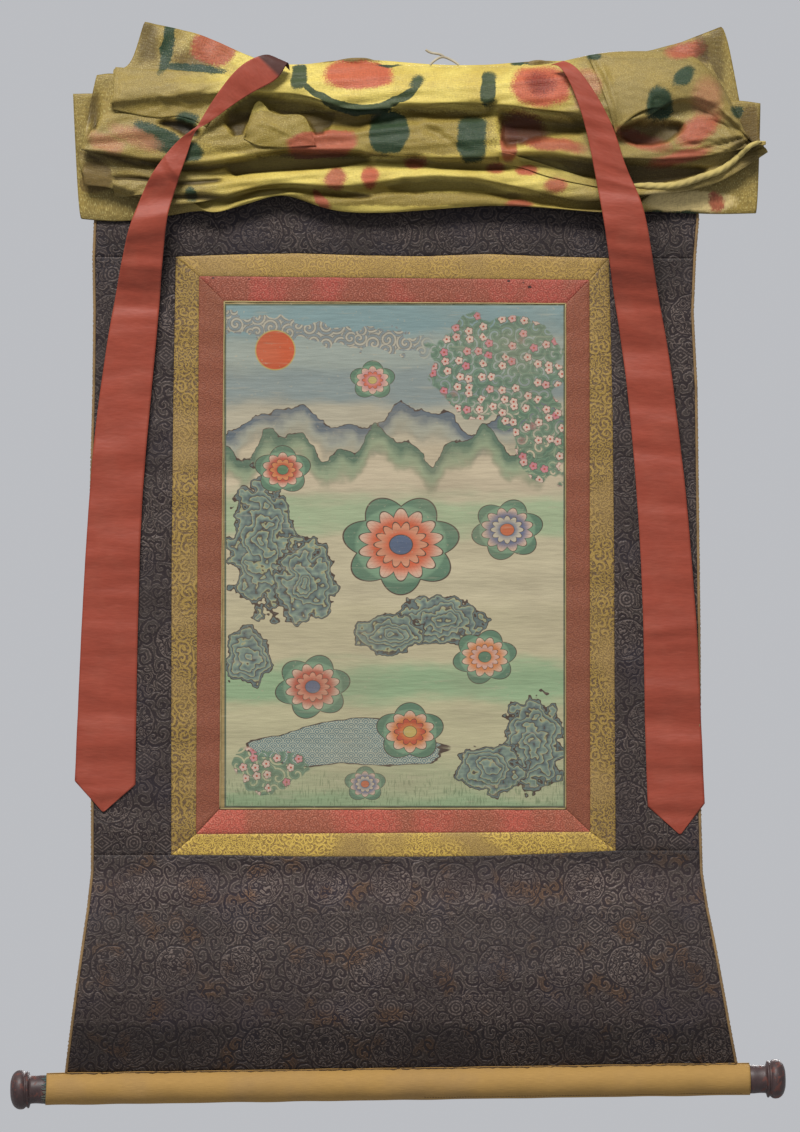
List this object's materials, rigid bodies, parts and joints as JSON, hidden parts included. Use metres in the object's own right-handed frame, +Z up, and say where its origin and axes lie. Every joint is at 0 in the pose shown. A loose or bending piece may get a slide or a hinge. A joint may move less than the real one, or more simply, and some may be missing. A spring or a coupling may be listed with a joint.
{
  "type": "thangka scroll painting hanging from its top edge, with roller",
  "caption": "Hanging scroll painting in brocade borders, with a gathered silk veil, two ribbons and a turned wooden roller.",
  "frame": {"origin": "middle of the top edge, in the plane of the flat cloth", "axes": "+Z up, +X to the viewer's right, the painted face towards -Y"},
  "size_m": [1.036, 0.0862, 1.4541],
  "materials": {
    "painted_cotton": "mineral paint on sized cotton, matt",
    "red_brocade": "figured silk, brick red",
    "yellow_brocade": "gold-yellow silk with small brown scrolls",
    "dark_brocade": "dark brown and navy silk with tan metal-thread scrolls",
    "edge_braid": "narrow tan braid",
    "veil_silk": "thin yellow silk with resist-dyed spots",
    "ribbon_silk": "brick-red satin ribbon",
    "sleeve_cloth": "worn ochre cloth",
    "lacquered_wood": "dark brown lacquer, rubbed",
    "twisted_cord": "twisted tan cord"
  },
  "bodies": {
    "root": {"painting_panel": "painted_cotton", "red_border_top": "red_brocade", "red_border_bottom": "red_brocade", "red_border_left": "red_brocade", "red_border_right": "red_brocade", "yellow_border_top": "yellow_brocade", "yellow_border_bottom": "yellow_brocade", "yellow_border_left": "yellow_brocade", "yellow_border_right": "yellow_brocade", "brocade_top": "dark_brocade", "brocade_left": "dark_brocade", "brocade_right": "dark_brocade", "brocade_bottom": "dark_brocade", "edge_binding_left": "edge_braid", "edge_binding_right": "edge_braid", "veil": "veil_silk", "ribbon_left": "ribbon_silk", "ribbon_right": "ribbon_silk", "roller_sleeve": "sleeve_cloth", "roller_rod": "lacquered_wood", "roller_knob_left": "lacquered_wood", "roller_knob_right": "lacquered_wood", "hanging_tie_loop": "twisted_cord", "hanging_tie_end": "twisted_cord"}
  },
  "joints": []
}
